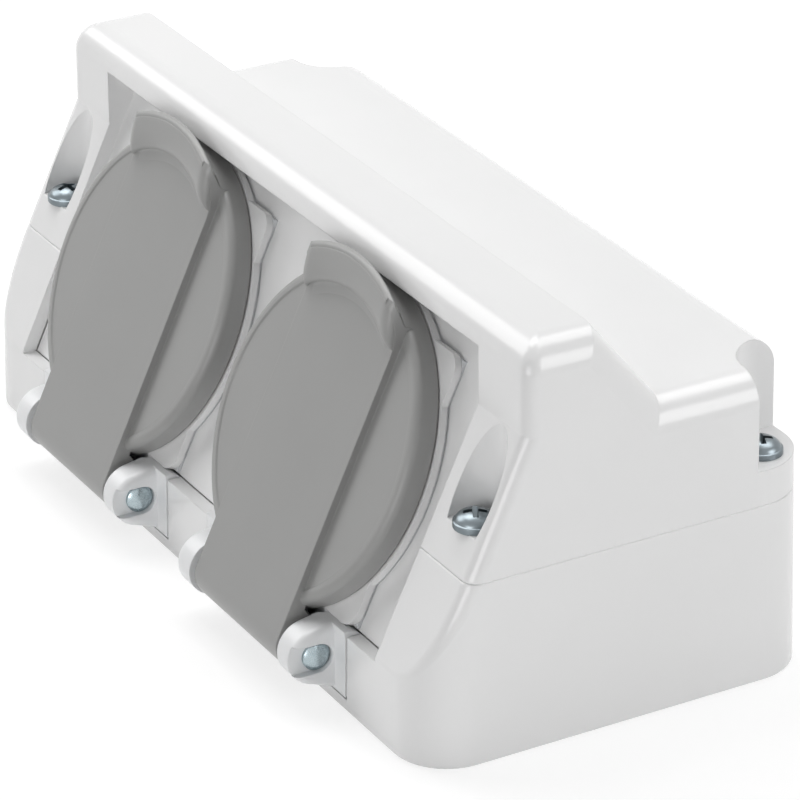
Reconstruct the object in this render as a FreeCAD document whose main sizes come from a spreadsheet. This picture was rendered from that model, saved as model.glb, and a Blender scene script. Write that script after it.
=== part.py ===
import FreeCAD, Part
import math
import os
import types
import Sketcher
from FreeCAD import Placement, Rotation, Vector

# Double outdoor socket for surface mounting, lying on its wall face.
# X runs along the housing, -Y is the front with the two hinged lids, +Z points away from the wall.
# The origin is the centre of the wall face. All lengths are millimetres and all angles degrees.

SIZES = {
    # Housing
    "housing_length": 156.0,
    "housing_depth": 71.5,
    "split_height": 31.0,
    "ledge_height": 13.4,
    "canopy_gap": 0.79,
    "canopy_thickness": 5.0,
    "canopy_front": 14.6,
    "canopy_depth": 13.1,
    "hood_drop": 14.5,
    "back_slope": 51.0,
    "lean": 25.0,
    "draft": 1.1,
    "wall": 2.5,
    "floor_wall": 2.8,
    "corner_radius": 9.5,
    "hood_radius": 5.2,
    "edge_radius": 2.4,
    "border_width": 15.4,
    "recess_depth": 2.45,
    "panel_thickness": 2.45,
    "panel_gap": 0.3,
    "border_hollow_gap": 0.5,
    "base_edge": 0.8,
    "split_edge": 0.25,
    # Housing screws
    "screw_seat_height": 37.0,
    "pocket_radius": 4.8,
    "front_screw_inset": 7.8,
    "front_screw_depth": 13.5,
    "back_screw_inset": 6.6,
    "back_screw_depth": 7.4,
    "notch_length": 13.2,
    "notch_depth": 11.7,
    "notch_radius": 7.6,
    "screw_head_radius": 3.5,
    "screw_head_height": 2.7,
    "screw_rim_height": 0.945,
    "screw_dome_radius": 7.7,
    "screw_shank_radius": 1.9,
    "screw_length": 24.0,
    "screw_boss_radius": 4.3,
    "screw_hole_gap": 0.3,
    "screw_bite_gap": 0.05,
    "cross_width": 0.9,
    "cross_length": 3.6,
    "cross_depth": 1.4,
    # Wall fixing and cable entry
    "fixing_inset": 12.0,
    "fixing_hole_radius": 2.3,
    "fixing_boss_radius": 5.0,
    "fixing_boss_height": 5.5,
    "rib_width": 1.5,
    "rib_height": 3.0,
    "rib_pitch": 22.0,
    "rib_inset": 3.0,
    "gland_height": 15.5,
    "gland_radius": 10.0,
    "gland_gap": 0.2,
    "gland_seat": 0.3,
    "gland_flange": 2.3,
    "gland_flange_thickness": 1.8,
    "gland_wall": 1.2,
    "gland_throat": 4.5,
    "gland_lip_radius": 6.2,
    "gland_collar_radius": 7.5,
    "gland_edge": 0.6,
    "gland_barb": 0.8,
    "gland_barb_length": 1.6,
    # Seal between the shells
    "seal_width": 1.0,
    "seal_height": 0.9,
    "seal_inset": 0.75,
    "seal_gap": 0.05,
    # Socket inserts
    "socket_pitch": 61.0,
    "socket_rise": 24.3,
    "flange_width": 46.2,
    "flange_corner": 3.0,
    "flange_radius": 27.6,
    "flange_thickness": 1.25,
    "gasket_thickness": 0.6,
    "gasket_inset": 0.4,
    "collar_radius": 24.0,
    "collar_height": 1.2,
    "collar_lead": 0.5,
    "plug_recess_radius": 19.75,
    "plug_recess_depth": 17.5,
    "cup_wall": 1.6,
    "cup_floor": 2.5,
    "cup_gap": 0.5,
    "pin_spacing": 19.0,
    "pin_hole_radius": 2.55,
    "guide_rib_width": 4.6,
    "guide_rib_depth": 1.0,
    "guide_rib_inset": 2.5,
    # Contacts
    "sleeve_bore_radius": 2.45,
    "sleeve_wall": 0.7,
    "sleeve_length": 11.5,
    "sleeve_slit": 0.8,
    "sleeve_slit_length": 8.05,
    "earth_width": 4.0,
    "earth_thickness": 0.8,
    "earth_bump": 1.7,
    "earth_bump_length": 4.0,
    "earth_slot_inset": 3.0,
    "earth_gap": 0.2,
    "carrier_length": 34.0,
    "carrier_height": 29.0,
    "carrier_thickness": 10.3,
    "carrier_corner": 3.0,
    "carrier_post_radius": 2.5,
    "terminal_width": 8.0,
    "terminal_length": 7.0,
    "terminal_hole_radius": 1.6,
    "terminal_head_radius": 2.8,
    "terminal_head_height": 1.8,
    "terminal_rim_height": 1.08,
    "terminal_top_radius": 2.1,
    "terminal_slot_length": 4.48,
    # Lids
    "lid_radius": 27.3,
    "lid_face": 3.85,
    "lid_thickness": 1.9,
    "lid_edge_radius": 1.3,
    "skirt_wall": 2.0,
    "skirt_gap": 0.3,
    "step_inset": 1.9,
    "step_depth": 0.2,
    "strap_width": 27.6,
    "strap_height": 1.25,
    "grip_foot_radius": 22.6,
    "grip_inside_radius": 28.5,
    "grip_height": 3.2,
    "grip_lip": 1.3,
    "grip_lip_drop": 0.5,
    "grip_lip_radius": 0.8,
    "grip_end_radius": 1.8,
    "grip_bite": 0.2,
    "grip_lean_start": 0.6,
    "lid_seal_width": 4.0,
    "lid_seal_gap": 0.3,
    "lid_seal_bevel": 0.8,
    "lid_seal_bevel_height": 0.5,
    # Hinges
    "hinge_forward": 2.75,
    "hinge_height": 8.7,
    "hinge_pin_radius": 1.5,
    "hinge_running_gap": 0.05,
    "ear_radius": 4.8,
    "ear_gap": 1.1,
    "ear_thickness": 4.8,
    "ear_edge_radius": 1.2,
    "bracket_foot": 2.6,
    "bracket_gap": 0.3,
    "web_gap": 0.4,
    "web_thickness": 1.3,
    "lid_clearance": 0.9,
    "pin_head_radius": 2.35,
    "pin_head_height": 1.5,
    "pin_rim_height": 0.525,
    "pin_dome_radius": 3.525,
    "pin_pocket_gap": 0.15,
    "pin_pocket_depth": 1.3,
    "pin_end_inset": 1.6,
    "spring_bay": 10.0,
    "spring_bay_radius": 3.1,
    "spring_bay_reach": 3.0,
    "spring_radius": 2.2,
    "spring_wire_radius": 0.35,
    "spring_turns": 4.0,
    "spring_pitch": 1.0,
    "spring_leg_reach": 1.5,
    "join_tolerance": 0.001,
}

doc = FreeCAD.newDocument("outdoor_double_socket")
sheet = doc.addObject("Spreadsheet::Sheet", "sizes")


class Size:
    """A length or an angle: its present number and the sheet formula that gives it."""

    def __init__(self, number, formula):
        self.number = number
        self.formula = formula

    def __add__(self, other):
        other = as_size(other)
        return Size(self.number + other.number, f"({self.formula} + {other.formula})")

    def __radd__(self, other):
        return as_size(other) + self

    def __sub__(self, other):
        other = as_size(other)
        return Size(self.number - other.number, f"({self.formula} - {other.formula})")

    def __rsub__(self, other):
        return as_size(other) - self

    def __mul__(self, other):
        other = as_size(other)
        return Size(self.number * other.number, f"({self.formula} * {other.formula})")

    def __rmul__(self, other):
        return as_size(other) * self

    def __truediv__(self, other):
        other = as_size(other)
        return Size(self.number / other.number, f"({self.formula} / {other.formula})")

    def __rtruediv__(self, other):
        return as_size(other) / self

    def __neg__(self):
        return as_size(0) - self


def as_size(value):
    if isinstance(value, Size):
        return value
    return Size(float(value), f"({float(value):.6f})")


def sine(angle):
    return Size(math.sin(math.radians(angle.number)), f"sin({angle.formula})")


def cosine(angle):
    return Size(math.cos(math.radians(angle.number)), f"cos({angle.formula})")


def tangent(angle):
    return Size(math.tan(math.radians(angle.number)), f"tan({angle.formula})")


def root(value):
    return Size(math.sqrt(value.number), f"sqrt({value.formula})")


def fill_sheet():
    sizes = {}
    for row, (name, number) in enumerate(SIZES.items(), start=1):
        sheet.set(f"A{row}", name)
        sheet.set(f"B{row}", str(number))
        sheet.setAlias(f"B{row}", name)
        sizes[name] = Size(number, f"sizes.{name}")
    doc.recompute()
    return types.SimpleNamespace(**sizes)


size = fill_sheet()

# Sketches and features

BULGE_LEFT = 1
BULGE_RIGHT = -1


def new_body(name):
    body = doc.addObject("PartDesign::Body", name)
    body.Label = name
    return body


def origin_plane(body, role):
    for feature in body.Origin.OriginFeatures:
        if feature.Role == role:
            return feature
    raise ValueError(role)


def new_sketch(body, role, offset=0.0):
    """A sketch on one of the body's own origin planes, moved along the plane's normal."""
    sketch = body.newObject("Sketcher::SketchObject", f"{body.Label}_sketch")
    sketch.AttachmentSupport = [(origin_plane(body, role), "")]
    sketch.MapMode = "FlatFace"
    sketch.setExpression(".AttachmentOffset.Base.z", as_size(offset).formula)
    return sketch


def tilted_sketch(body, depth, height, outward):
    """A sketch parallel to the leaning front, square to the line that points out of it."""
    sketch = new_sketch(body, "XY_Plane")
    turn = 90 - size.lean
    sketch.AttachmentOffset = Placement(Vector(), Rotation(Vector(1, 0, 0), turn.number))
    sketch.setExpression(".AttachmentOffset.Rotation.Angle", turn.formula)
    sketch.setExpression(".AttachmentOffset.Base.y", (depth - outward * cosine(size.lean)).formula)
    sketch.setExpression(".AttachmentOffset.Base.z", (height + outward * sine(size.lean)).formula)
    return sketch


def fix(sketch, kind, geometry, point, value):
    value = as_size(value)
    if kind == "Radius":
        index = sketch.addConstraint(Sketcher.Constraint(kind, geometry, value.number))
    else:
        index = sketch.addConstraint(Sketcher.Constraint(kind, -1, 1, geometry, point, value.number))
    sketch.setExpression(f"Constraints[{index}]", value.formula)


def arc_between(start, end, radius, side):
    """The arc that runs from start to end; side tells on which hand its middle lies."""
    chord = end - start
    half = chord.Length / 2
    rise = math.sqrt(max(radius * radius - half * half, 0.0))
    left = Vector(-chord.y, chord.x, 0).normalize()
    centre = start + chord * 0.5 - left * (rise * side)
    first = math.atan2(start.y - centre.y, start.x - centre.x)
    last = math.atan2(end.y - centre.y, end.x - centre.x)
    circle = Part.Circle(centre, Vector(0, 0, 1), radius)
    if side == BULGE_LEFT:
        return Part.ArcOfCircle(circle, last, first if first > last else first + 2 * math.pi)
    return Part.ArcOfCircle(circle, first, last if last > first else last + 2 * math.pi)


def outline(sketch, corners):
    """A closed outline. A corner is (x, y), or (x, y, radius, side) where an arc leaves it."""
    first = sketch.GeometryCount
    count = len(corners)
    places = [Vector(as_size(c[0]).number, as_size(c[1]).number, 0) for c in corners]
    ends = []
    for index, corner in enumerate(corners):
        start = places[index]
        end = places[(index + 1) % count]
        if len(corner) == 2:
            sketch.addGeometry(Part.LineSegment(start, end), False)
            ends.append((1, 2))
        else:
            radius = as_size(corner[2])
            sketch.addGeometry(arc_between(start, end, radius.number, corner[3]), False)
            ends.append((2, 1) if corner[3] == BULGE_LEFT else (1, 2))
    for index in range(count):
        following = (index + 1) % count
        sketch.addConstraint(Sketcher.Constraint(
            "Coincident", first + index, ends[index][1], first + following, ends[following][0]))
    for index, corner in enumerate(corners):
        fix(sketch, "DistanceX", first + index, ends[index][0], corner[0])
        fix(sketch, "DistanceY", first + index, ends[index][0], corner[1])
        if len(corner) == 4:
            fix(sketch, "Radius", first + index, 0, corner[2])
    return sketch


def rectangle(sketch, left, bottom, right, top):
    return outline(sketch, [(left, bottom), (right, bottom), (right, top), (left, top)])


def circle(sketch, across, up, radius):
    centre = Vector(as_size(across).number, as_size(up).number, 0)
    geometry = sketch.addGeometry(Part.Circle(centre, Vector(0, 0, 1), as_size(radius).number), False)
    fix(sketch, "DistanceX", geometry, 3, across)
    fix(sketch, "DistanceY", geometry, 3, up)
    fix(sketch, "Radius", geometry, 0, radius)
    return sketch


def pad(sketch, length, symmetric=False, backwards=False):
    body = sketch.getParentGeoFeatureGroup()
    feature = body.newObject("PartDesign::Pad", f"{body.Label}_pad")
    feature.Profile = sketch
    feature.SideType = "Symmetric" if symmetric else "One side"
    feature.Reversed = backwards
    feature.setExpression("Length", as_size(length).formula)
    doc.recompute()
    return feature


def pocket(sketch, length, symmetric=False, backwards=False):
    body = sketch.getParentGeoFeatureGroup()
    before = body.Shape.Volume
    feature = body.newObject("PartDesign::Pocket", f"{body.Label}_pocket")
    feature.Profile = sketch
    feature.SideType = "Symmetric" if symmetric else "One side"
    feature.Reversed = backwards
    feature.setExpression("Length", as_size(length).formula)
    doc.recompute()
    if feature.Shape.Volume >= before:
        raise ValueError(f"{feature.Label} cuts nothing")
    return feature


def revolve(sketch, axis, angle=360.0, symmetric=False):
    body = sketch.getParentGeoFeatureGroup()
    feature = body.newObject("PartDesign::Revolution", f"{body.Label}_revolution")
    feature.Profile = sketch
    feature.ReferenceAxis = (sketch, [axis])
    feature.Midplane = symmetric
    feature.setExpression("Angle", as_size(angle).formula)
    doc.recompute()
    return feature


def fillet(body, radius, test):
    """Rounds the edges of the body's tip whose two ends and middle pass the test."""
    tip = body.Tip
    names = []
    for index, edge in enumerate(tip.Shape.Edges, start=1):
        middle = edge.valueAt((edge.FirstParameter + edge.LastParameter) / 2)
        ends = [vertex.Point for vertex in edge.Vertexes]
        if all(test(point) for point in [middle] + ends):
            names.append(f"Edge{index}")
    feature = body.newObject("PartDesign::Fillet", f"{body.Label}_fillet")
    feature.Base = (tip, names)
    feature.setExpression("Radius", as_size(radius).formula)
    doc.recompute()
    return feature


def place(body, across, depth, height, turn=None):
    """Depths are measured from the housing's front wall, the part's origin is at its middle."""
    body.Placement = Placement(Vector(), Rotation(Vector(1, 0, 0), turn.number if turn else 0.0))
    if turn is not None:
        body.setExpression(".Placement.Rotation.Angle", turn.formula)
    body.setExpression(".Placement.Base.x", as_size(across).formula)
    body.setExpression(".Placement.Base.y", (depth - size.housing_depth / 2).formula)
    body.setExpression(".Placement.Base.z", as_size(height).formula)


def near(first, second, reach=0.02):
    return abs(first - second) < reach


# Places that several pieces share

socket_depth = size.socket_rise * sine(size.lean)
socket_height = size.ledge_height + size.socket_rise * cosine(size.lean)
canopy_height = (socket_height + (size.lid_radius + size.canopy_gap) * cosine(size.lean)
                 + size.lid_face * sine(size.lean))
top_height = canopy_height + size.canopy_thickness
kink_height = top_height - size.canopy_front
plateau_height = top_height - size.hood_drop
half_length = size.housing_length / 2
recess_half = half_length - size.border_width
lean_run = tangent(size.lean)
kink_depth = (kink_height - size.ledge_height) * lean_run
canopy_back = kink_depth + size.canopy_depth
slope_run = size.hood_drop / tangent(size.back_slope)
plateau_front = canopy_back + slope_run
split_inset = size.split_height * tangent(size.draft)
panel_front = -size.recess_depth
panel_back = panel_front - size.panel_thickness
flange_back = panel_front + size.gasket_thickness
flange_front = flange_back + size.flange_thickness
collar_front = flange_front + size.collar_height
recess_floor = collar_front - size.plug_recess_depth
cup_back = recess_floor - size.cup_floor
cup_radius = size.plug_recess_radius + size.cup_wall
tilt = 90 - size.lean
# The hinge line in the sockets' own frame: up the leaning front from the middle, and out of it
hinge_up = (-size.hinge_forward * sine(size.lean)
            + (size.hinge_height - size.ledge_height) * cosine(size.lean) - size.socket_rise)
hinge_out = (size.hinge_forward * cosine(size.lean)
             + (size.hinge_height - size.ledge_height) * sine(size.lean))
skirt_back = flange_front + size.skirt_gap
strap_face = size.lid_face - size.step_depth + size.strap_height
barrel_radius = strap_face - hinge_out
ear_inside = size.strap_width / 2 + size.ear_gap
ear_outside = ear_inside + size.ear_thickness
web_front = barrel_radius - size.hinge_forward + size.web_gap
web_back = web_front + size.web_thickness
# How far a cut runs past the solid it cuts, and how far a joined pad starts inside its neighbour
far = 40.0
beyond = 5.0
bite = 0.5


def leaning(rise, outward):
    """Depth and height of a point on the leaning front: up from the ledge, and out of the face."""
    depth = rise * sine(size.lean) - outward * cosine(size.lean)
    height = size.ledge_height + rise * cosine(size.lean) + outward * sine(size.lean)
    return depth, height


def inner_line(height, outward):
    """Depth of the plane that lies outward from the leaning front, at a height."""
    return (height - size.ledge_height) * lean_run - outward / cosine(size.lean)


def screw_places():
    front = (half_length - size.front_screw_inset, size.front_screw_depth)
    back = (half_length - size.back_screw_inset, size.housing_depth - size.back_screw_depth)
    return {
        "front_left": (-front[0], front[1]),
        "front_right": front,
        "back_left": (-back[0], back[1]),
        "back_right": back,
    }


def outer_block(body):
    """The whole outside of the housing, which each shell keeps its own part of."""
    sketch = new_sketch(body, "XY_Plane")
    rectangle(sketch, -half_length, 0, half_length, size.housing_depth)
    draft_walls(pad(sketch, top_height))
    end = half_length.number
    middle = size.housing_depth.number / 2
    fillet(body, size.corner_radius, lambda p: abs(p.x) > end - 2.5 and abs(p.y - middle) > middle - 2.5)
    above = top_height + beyond
    sketch = new_sketch(body, "YZ_Plane")
    outline(sketch, [
        (-far, size.ledge_height - far / lean_run),
        (kink_depth, kink_height),
        (kink_depth, above),
        (-far, above),
    ])
    pocket(sketch, size.housing_length, symmetric=True)
    sketch = new_sketch(body, "YZ_Plane")
    outline(sketch, [
        (canopy_back, top_height),
        (plateau_front, plateau_height),
        (size.housing_depth + far, plateau_height),
        (size.housing_depth + far, above),
        (canopy_back, above),
    ])
    pocket(sketch, size.housing_length, symmetric=True)
    top = top_height.number
    plateau = plateau_height.number
    slope_top = canopy_back.number
    slope_foot = plateau_front.number

    def hood_edge(point):
        """Edges round the canopy bar's top, down the slope's ends and round the plateau."""
        at_end = abs(point.x) > end - 8
        on_top = near(point.z, top) and (at_end or not near(point.y, slope_top))
        on_slope = at_end and point.z > plateau - 0.1 and slope_top - 0.1 < point.y < slope_foot
        on_plateau = near(point.z, plateau) and (at_end or point.y > slope_foot + 1)
        return on_top or on_slope or on_plateau

    def front_edge(point):
        face = min(inner_line(as_size(point.z), as_size(0)).number, kink_depth.number)
        return abs(point.x) > end - 10 and near(point.y, face) and point.z > size.ledge_height.number

    fillet(body, size.hood_radius, hood_edge)
    fillet(body, size.edge_radius, front_edge)


def draft_walls(block):
    body = block.getParentGeoFeatureGroup()
    faces = []
    for index, face in enumerate(block.Shape.Faces, start=1):
        if near(face.normalAt(0, 0).z, 0):
            faces.append(f"Face{index}")
    feature = body.newObject("PartDesign::Draft", f"{body.Label}_draft")
    feature.Base = (block, faces)
    feature.NeutralPlane = (origin_plane(body, "XY_Plane"), [""])
    feature.setExpression("Angle", size.draft.formula)
    doc.recompute()


# Lower shell: the box on the wall, with the leaning borders, the low front wall and its two cut-outs

def make_lower_shell():
    body = new_body("lower_shell")
    outer_block(body)
    sketch = new_sketch(body, "YZ_Plane")
    rectangle(sketch, -far, size.split_height, size.housing_depth + far, top_height + beyond)
    pocket(sketch, size.housing_length + 2 * beyond, symmetric=True)
    fillet(body, size.base_edge, lambda p: near(p.z, 0))
    fillet(body, size.split_edge, lambda p: near(p.z, size.split_height.number))
    # Inside
    inner_end = half_length - split_inset - size.wall
    sketch = new_sketch(body, "YZ_Plane")
    above = size.split_height + 1
    inner_back = size.housing_depth - split_inset - size.wall
    knee = size.ledge_height + (size.wall - size.wall / cosine(size.lean)) / lean_run
    middle = size.housing_depth / 2
    outline(sketch, [
        (size.wall, size.floor_wall),
        (middle, size.floor_wall),
        (middle, above),
        (inner_line(above, -size.wall), above),
        (size.wall, knee),
    ])
    pocket(sketch, 2 * (half_length - split_inset - size.corner_radius), symmetric=True)
    round_off = size.corner_radius - size.wall
    front = inner_line(above, -size.wall)
    sketch = new_sketch(body, "XY_Plane", size.floor_wall)
    outline(sketch, [
        (-inner_end, front),
        (inner_end, front),
        (inner_end, inner_back - round_off, round_off, BULGE_RIGHT),
        (inner_end - round_off, inner_back),
        (-inner_end + round_off, inner_back, round_off, BULGE_RIGHT),
        (-inner_end, inner_back - round_off),
    ])
    pocket(sketch, size.split_height, backwards=True)
    # Between the borders the front ends at the ledge
    sketch = new_sketch(body, "YZ_Plane")
    rectangle(sketch, -1, size.ledge_height, size.front_screw_depth, above)
    pocket(sketch, 2 * recess_half, symmetric=True)
    # Bosses for the screws, inside the corners
    for across, depth in screw_places().values():
        sketch = new_sketch(body, "XY_Plane", 1)
        circle(sketch, across, depth, size.screw_boss_radius)
        pad(sketch, size.split_height - 1)
    for across, depth in screw_places().values():
        sketch = new_sketch(body, "XY_Plane", size.split_height)
        circle(sketch, across, depth, size.screw_shank_radius + size.screw_bite_gap)
        pocket(sketch, size.screw_length - (size.screw_seat_height - size.split_height) + 1)
    # Cut-outs in the front wall for the hinge brackets
    for side in (-1, 1):
        sketch = new_sketch(body, "XZ_Plane")
        middle = side * size.socket_pitch / 2
        reach = size.flange_width / 2 + size.bracket_gap
        rectangle(sketch, middle - reach, size.bracket_foot - size.bracket_gap,
                  middle + reach, size.ledge_height + 1)
        pocket(sketch, 2 * (web_back + size.bracket_gap), symmetric=True)
    # Wall fixing bosses with their holes, and stiffening ribs on the floor
    for side in (-1, 1):
        across = side * (half_length - size.fixing_inset)
        sketch = new_sketch(body, "XY_Plane", size.floor_wall / 2)
        circle(sketch, across, size.housing_depth / 2, size.fixing_boss_radius)
        pad(sketch, size.fixing_boss_height - size.floor_wall / 2)
        sketch = new_sketch(body, "XY_Plane")
        circle(sketch, across, size.housing_depth / 2, size.fixing_hole_radius)
        pocket(sketch, size.fixing_boss_height + 1, backwards=True)
    for place_number in (-1.5, -0.5, 0.5, 1.5):
        middle = place_number * size.rib_pitch
        sketch = new_sketch(body, "XY_Plane", size.floor_wall / 2)
        rectangle(sketch, middle - size.rib_width / 2, size.wall / 2 + size.rib_inset,
                  middle + size.rib_width / 2, inner_back + size.wall / 2)
        pad(sketch, size.floor_wall / 2 + size.rib_height)
    # Cable entry in the back wall, and the groove for the seal
    sketch = new_sketch(body, "XZ_Plane", -size.housing_depth)
    circle(sketch, 0, size.gland_height, size.gland_radius + size.gland_gap)
    pocket(sketch, 2 * (size.wall + 1), symmetric=True)
    sketch = new_sketch(body, "XY_Plane", size.split_height)
    seal_path(sketch, size.seal_gap)
    pocket(sketch, size.seal_height + size.seal_gap)
    place(body, 0, 0, 0)
    return body


def seal_path(sketch, gap):
    """The strip that runs along both end walls and the back wall, on top of the lower shell."""
    outer = half_length - split_inset - size.seal_inset + gap
    inner = outer - size.seal_width - 2 * gap
    back_outer = size.housing_depth - split_inset - size.seal_inset + gap
    back_inner = back_outer - size.seal_width - 2 * gap
    start = size.front_screw_depth + size.screw_boss_radius - gap
    large = size.corner_radius - size.seal_inset
    small = large - size.seal_width - 2 * gap
    outline(sketch, [
        (inner, start),
        (outer, start),
        (outer, back_outer - large, large, BULGE_RIGHT),
        (outer - large, back_outer),
        (-outer + large, back_outer, large, BULGE_RIGHT),
        (-outer, back_outer - large),
        (-outer, start),
        (-inner, start),
        (-inner, back_inner - small, small, BULGE_LEFT),
        (-inner + small, back_inner),
        (inner - small, back_inner, small, BULGE_LEFT),
        (inner, back_inner - small),
    ])
    return sketch


# Upper shell: the hood with its canopy bar, the sloped back, the screw pockets and the leaning panel

def make_upper_shell():
    body = new_body("upper_shell")
    outer_block(body)
    sketch = new_sketch(body, "YZ_Plane")
    rectangle(sketch, -far, -1, size.housing_depth + far, size.split_height)
    pocket(sketch, size.housing_length + 2 * beyond, symmetric=True)
    fillet(body, size.split_edge, lambda p: near(p.z, size.split_height.number))
    # Scooped corners behind, down to the screw ledge
    for side in (-1, 1):
        sketch = new_sketch(body, "XY_Plane", size.screw_seat_height)
        end = half_length + beyond
        near_x = half_length - size.notch_length
        near_y = size.housing_depth - size.notch_depth
        reach = size.notch_radius
        outline(sketch, [
            (side * near_x, size.housing_depth + beyond),
            (side * near_x, near_y + reach, reach, BULGE_LEFT if side < 0 else BULGE_RIGHT),
            (side * (near_x + reach), near_y),
            (side * end, near_y),
            (side * end, size.housing_depth + beyond),
        ])
        pocket(sketch, top_height, backwards=True)
    # Round pockets for the front screws
    for side in (-1, 1):
        sketch = new_sketch(body, "XY_Plane", size.screw_seat_height)
        circle(sketch, side * (half_length - size.front_screw_inset), size.front_screw_depth,
               size.pocket_radius)
        pocket(sketch, kink_height - size.screw_seat_height + 2, backwards=True)
    # The recess under the canopy
    sketch = new_sketch(body, "YZ_Plane")
    outline(sketch, [
        (inner_line(size.split_height - 1, 1), size.split_height - 1),
        (inner_line(size.split_height - 1, panel_front), size.split_height - 1),
        (inner_line(canopy_height, panel_front), canopy_height),
        (kink_depth - 1, canopy_height),
        (kink_depth - 1, kink_height + 1),
    ])
    pocket(sketch, 2 * recess_half, symmetric=True)
    # Inside: one deep space between the borders, and a lower one behind each border
    ceiling = plateau_height - size.wall
    canopy_ceiling = canopy_height - size.wall
    slope_shift = size.wall / sine(size.back_slope)
    slope_at = canopy_back - slope_shift
    run = 1 / tangent(size.back_slope)
    inner_back = size.housing_depth - top_height * tangent(size.draft) - size.wall
    sketch = new_sketch(body, "YZ_Plane")
    outline(sketch, [
        (inner_line(size.split_height - 1, panel_back), size.split_height - 1),
        (inner_back, size.split_height - 1),
        (inner_back, ceiling),
        (slope_at + (top_height - ceiling) * run, ceiling),
        (slope_at + (top_height - canopy_ceiling) * run, canopy_ceiling),
        (inner_line(canopy_ceiling, panel_back), canopy_ceiling),
    ])
    pocket(sketch, 2 * recess_half, symmetric=True)
    for side in (-1, 1):
        sketch = new_sketch(body, "XY_Plane", size.split_height)
        start = recess_half - 1
        end = half_length - split_inset - size.wall - size.border_hollow_gap
        rectangle(sketch, side * start, kink_depth + size.wall,
                  side * end, size.housing_depth - size.notch_depth - size.wall)
        pocket(sketch, plateau_height - size.split_height - 2 * size.wall, backwards=True)
    # The panel's tongue, which reaches down to the ledge
    sketch = new_sketch(body, "YZ_Plane")
    foot = size.panel_gap / 2 / cosine(size.lean) - panel_front * lean_run
    outline(sketch, [
        leaning(foot, panel_front),
        leaning(foot, panel_back),
        (inner_line(size.split_height + 1, panel_back), size.split_height + 1),
        (inner_line(size.split_height + 1, panel_front), size.split_height + 1),
    ])
    pad(sketch, 2 * (recess_half - size.panel_gap), symmetric=True)
    # Holes for the socket inserts, square to the panel, and for the screws
    sketch = tilted_sketch(body, socket_depth, socket_height, panel_front)
    for side in (-1, 1):
        circle(sketch, side * size.socket_pitch / 2, 0, cup_radius + size.cup_gap)
    pocket(sketch, 4 * size.panel_thickness, symmetric=True)
    for across, depth in screw_places().values():
        sketch = new_sketch(body, "XY_Plane", size.split_height)
        circle(sketch, across, depth, size.screw_shank_radius + size.screw_hole_gap)
        pocket(sketch, 2 * (size.screw_seat_height - size.split_height + 1), symmetric=True)
    place(body, 0, 0, 0)
    return body


def make_housing_seal():
    body = new_body("housing_seal")
    sketch = new_sketch(body, "XY_Plane", size.split_height - size.seal_height)
    seal_path(sketch, 0)
    pad(sketch, size.seal_height)
    place(body, 0, 0, 0)
    return body


def make_housing_screw(name, across, depth):
    """A pan-head screw with a cross recess, standing on its seat."""
    body = new_body(f"housing_screw_{name}")
    sketch = new_sketch(body, "XZ_Plane")
    outline(sketch, [
        (0, size.screw_head_height, size.screw_dome_radius, BULGE_LEFT),
        (size.screw_head_radius, size.screw_rim_height),
        (size.screw_head_radius, 0),
        (size.screw_shank_radius, 0),
        (size.screw_shank_radius, -size.screw_length + size.screw_shank_radius),
        (0, -size.screw_length),
    ])
    revolve(sketch, "V_Axis")
    for across_size, up_size in ((size.cross_length, size.cross_width),
                                 (size.cross_width, size.cross_length)):
        sketch = new_sketch(body, "XY_Plane", size.screw_head_height)
        rectangle(sketch, -across_size / 2, -up_size / 2, across_size / 2, up_size / 2)
        pocket(sketch, size.cross_depth)
    place(body, across, depth, size.screw_seat_height)
    return body


def make_cable_grommet():
    """A rubber bush that lines the cable entry, with a thin lip round its open middle."""
    body = new_body("cable_grommet")
    sketch = new_sketch(body, "XZ_Plane")
    inset = size.gland_height * tangent(size.draft)
    inside = inset - split_inset - size.wall - size.gland_gap
    rim = size.gland_radius + size.gland_flange
    outline(sketch, [
        (size.gland_throat, 0),
        (size.gland_lip_radius, 0),
        (size.gland_collar_radius, size.gland_flange_thickness),
        (rim - size.gland_edge, size.gland_flange_thickness),
        (rim, size.gland_flange_thickness - size.gland_edge),
        (rim, size.gland_seat),
        (size.gland_radius, size.gland_seat),
        (size.gland_radius, inside),
        (rim - size.gland_barb, inside),
        (size.gland_radius, inside - size.gland_barb_length),
        (size.gland_radius - size.gland_wall, inside - size.gland_barb_length),
        (size.gland_radius - size.gland_wall, -size.gland_wall),
        (size.gland_throat, -size.gland_wall),
    ])
    revolve(sketch, "V_Axis")
    place(body, 0, size.housing_depth - inset, size.gland_height, as_size(-90))
    return body


# Socket inserts. Their own frame has Y up the leaning front and Z out of it, from the socket's middle

def place_socket(body, side):
    place(body, side * size.socket_pitch / 2, socket_depth, socket_height, tilt)
    return body


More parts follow.
